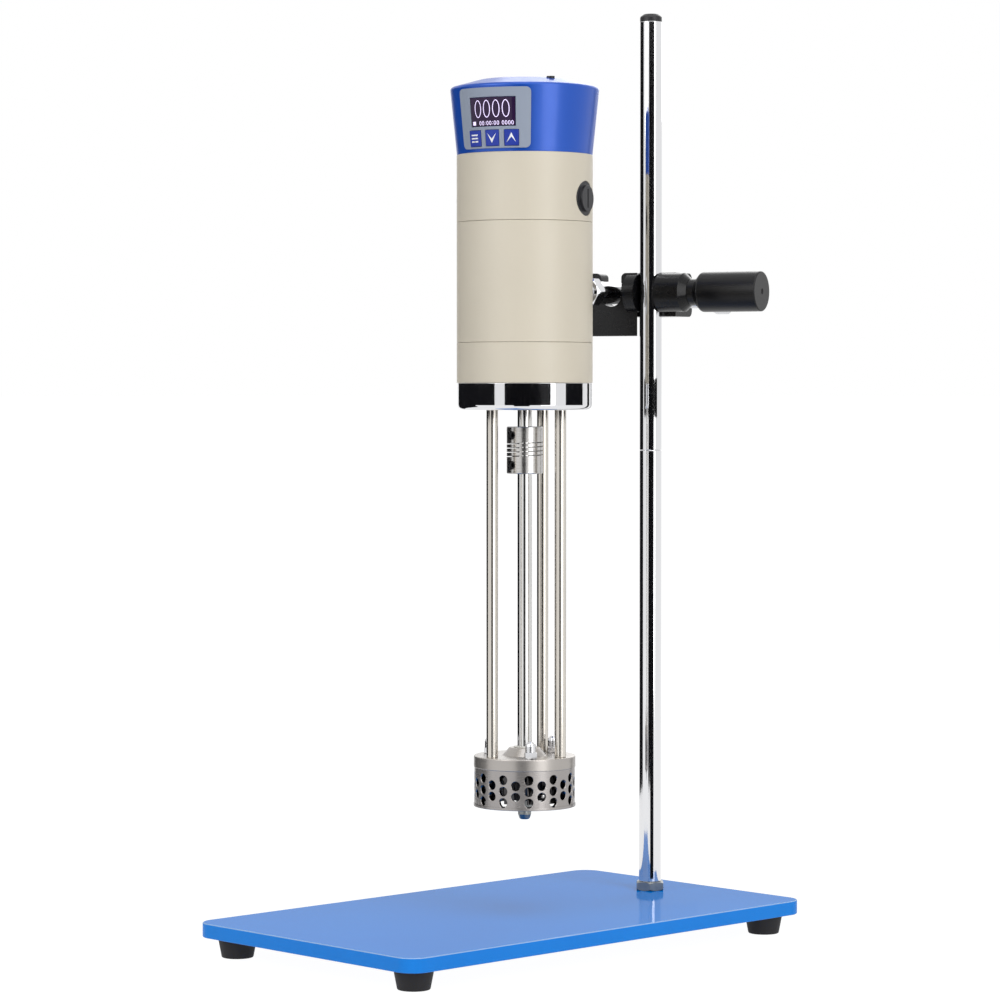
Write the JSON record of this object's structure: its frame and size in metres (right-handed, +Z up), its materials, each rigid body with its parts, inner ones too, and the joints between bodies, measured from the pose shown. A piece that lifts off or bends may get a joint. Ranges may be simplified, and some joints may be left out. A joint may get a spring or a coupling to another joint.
{
  "type": "laboratory emulsifier",
  "caption": "Bench shear emulsifier: a stand with column and clamp holds a motor unit whose long shaft turns a toothed rotor in a perforated cage.",
  "frame": {"origin": "on the table, under the centre of the base plate, at the level of the feet's undersides", "axes": "+X along the plate towards the column, +Y across the plate, +Z up"},
  "size_m": [0.3844, 0.22, 0.658],
  "materials": {
    "plate_enamel": "glossy blue stove enamel with a polished rim",
    "foot_rubber": "matte black rubber",
    "fastener_steel": "bright plated steel",
    "rod_chrome": "polished chrome plate",
    "cap_plastic": "black moulded plastic",
    "clamp_enamel": "black satin enamel on a casting",
    "grip_plastic": "satin black moulded plastic",
    "screw_steel": "turned steel",
    "pad_brass": "machined brass",
    "housing_enamel": "satin beige enamel",
    "head_plastic": "glossy blue moulding",
    "panel_film": "fine textured grey film",
    "display_film": "dark smoked window with lit figures",
    "key_film": "blue key with a white sign",
    "board_laminate": "green circuit board",
    "boss_aluminium": "machined aluminium",
    "gland_plastic": "black moulded plastic",
    "bearing_steel": "ground steel",
    "carrier_aluminium": "die-cast aluminium",
    "core_steel": "stacked electrical steel",
    "winding_copper": "varnished copper wire",
    "fan_plastic": "black moulded plastic",
    "brush_carbon": "pressed carbon",
    "brush_cap_plastic": "black moulded plastic with a screwdriver slot",
    "coupling_steel": "turned stainless steel",
    "set_screw_black": "black oxide steel",
    "shaft_steel": "ground stainless steel",
    "head_steel": "turned stainless steel",
    "bush_polymer": "white fluoropolymer"
  },
  "bodies": {
    "stand": {"base_plate": "plate_enamel", "rubber_feet": "foot_rubber", "foot_screws": "fastener_steel", "column_nut": "fastener_steel"},
    "column": {"lower_rod": "rod_chrome", "upper_rod": "rod_chrome", "joint_stud": "screw_steel", "column_cap": "cap_plastic"},
    "clamp": {"clamp_body": "clamp_enamel"},
    "column_shoe": {"column_pad": "pad_brass"},
    "column_lock": {"column_lock_screw": "screw_steel", "column_lock_grip": "grip_plastic"},
    "arm_pad": {"arm_shoe": "pad_brass"},
    "arm_lock": {"arm_lock_screw": "fastener_steel"},
    "arm": {"arm_rod": "rod_chrome", "arm_collar": "rod_chrome"},
    "motor_unit": {"end_ring": "rod_chrome", "housing_lower": "housing_enamel", "housing_middle": "housing_enamel", "housing_upper": "housing_enamel", "head_cover": "head_plastic", "head_screws": "set_screw_black", "control_panel": "panel_film", "display_window": "display_film", "key_board": "board_laminate", "control_board": "board_laminate", "board_posts": "cap_plastic", "arm_socket": "boss_aluminium", "cable_gland": "gland_plastic", "lower_bearing": "bearing_steel", "upper_bearing": "bearing_steel", "upper_bearing_plate": "carrier_aluminium", "field_core": "core_steel", "field_windings": "winding_copper", "carbon_brushes": "brush_carbon", "brush_holders": "pad_brass", "brush_caps": "brush_cap_plastic", "head_plate": "head_steel", "head_bush": "bush_polymer", "guide_rods": "rod_chrome", "stator_cage": "head_steel", "cage_studs": "screw_steel", "acorn_nuts": "fastener_steel"},
    "drive": {"motor_shaft": "shaft_steel", "armature": "core_steel", "commutator": "winding_copper", "cooling_fan": "fan_plastic", "shaft_coupling": "coupling_steel", "coupling_screws": "set_screw_black", "drive_shaft": "shaft_steel", "rotor": "head_steel", "rotor_nut": "fastener_steel"},
    "down_key": {"key_down": "key_film"},
    "up_key": {"key_up": "key_film"},
    "menu_key": {"key_menu": "key_film"}
  },
  "joints": [
    {"name": "column_swivel", "type": "hinge", "parent": "stand", "child": "column", "pos_m": [0.145, 0, 0.024], "axis": [0, 0, 1], "range_deg": [-170, 170]},
    {"name": "clamp_height", "type": "slide", "parent": "column", "child": "clamp", "axis": [0, 0, 1], "range_m": [-0.055, 0.17]},
    {"name": "column_pad_release", "type": "slide", "parent": "clamp", "child": "column_shoe", "axis": [0.3256, -0.9455, 0], "range_m": [0, 0.003]},
    {"name": "column_lock_turn", "type": "hinge", "parent": "column_shoe", "child": "column_lock", "pos_m": [0.145, 0, 0.457], "axis": [0.3256, -0.9455, 0], "range_deg": [0, 720]},
    {"name": "arm_shoe_release", "type": "slide", "parent": "clamp", "child": "arm_pad", "axis": [0.3256, -0.9455, 0], "range_m": [0, 0.00125]},
    {"name": "arm_lock_turn", "type": "hinge", "parent": "arm_pad", "child": "arm_lock", "pos_m": [0.1658, 0.00716, 0.45], "axis": [0.3256, -0.9455, 0], "range_deg": [0, 360]},
    {"name": "arm_reach", "type": "slide", "parent": "clamp", "child": "arm", "axis": [0.9455, 0.3256, 0], "range_m": [-0.03, 0.03]},
    {"name": "motor_tilt", "type": "hinge", "parent": "arm", "child": "motor_unit", "pos_m": [0.00002, -0.01819, 0.457], "axis": [0.9455, 0.3256, 0], "range_deg": [-90, 90]},
    {"name": "rotor_spin", "type": "hinge", "parent": "motor_unit", "child": "drive", "pos_m": [0.00002, -0.01819, 0.3], "axis": [0, 0, 1], "continuous": true},
    {"name": "down_key_press", "type": "slide", "parent": "motor_unit", "child": "down_key", "axis": [0.9455, 0.3256, 0], "range_m": [0, 0.0005], "stiffness_N_per_m": 2000, "springref_m": -0.0002},
    {"name": "up_key_press", "type": "slide", "parent": "motor_unit", "child": "up_key", "axis": [0.8171, 0.5764, 0], "range_m": [0, 0.0005], "stiffness_N_per_m": 2000, "springref_m": -0.0002},
    {"name": "menu_key_press", "type": "slide", "parent": "motor_unit", "child": "menu_key", "axis": [0.9988, 0.0489, 0], "range_m": [0, 0.0005], "stiffness_N_per_m": 2000, "springref_m": -0.0002}
  ],
  "couplings": [
    {"joint": "column_lock_turn", "follows": "column_pad_release", "rad_per_m": 4188.8},
    {"joint": "arm_lock_turn", "follows": "arm_shoe_release", "rad_per_m": 5026.5}
  ]
}
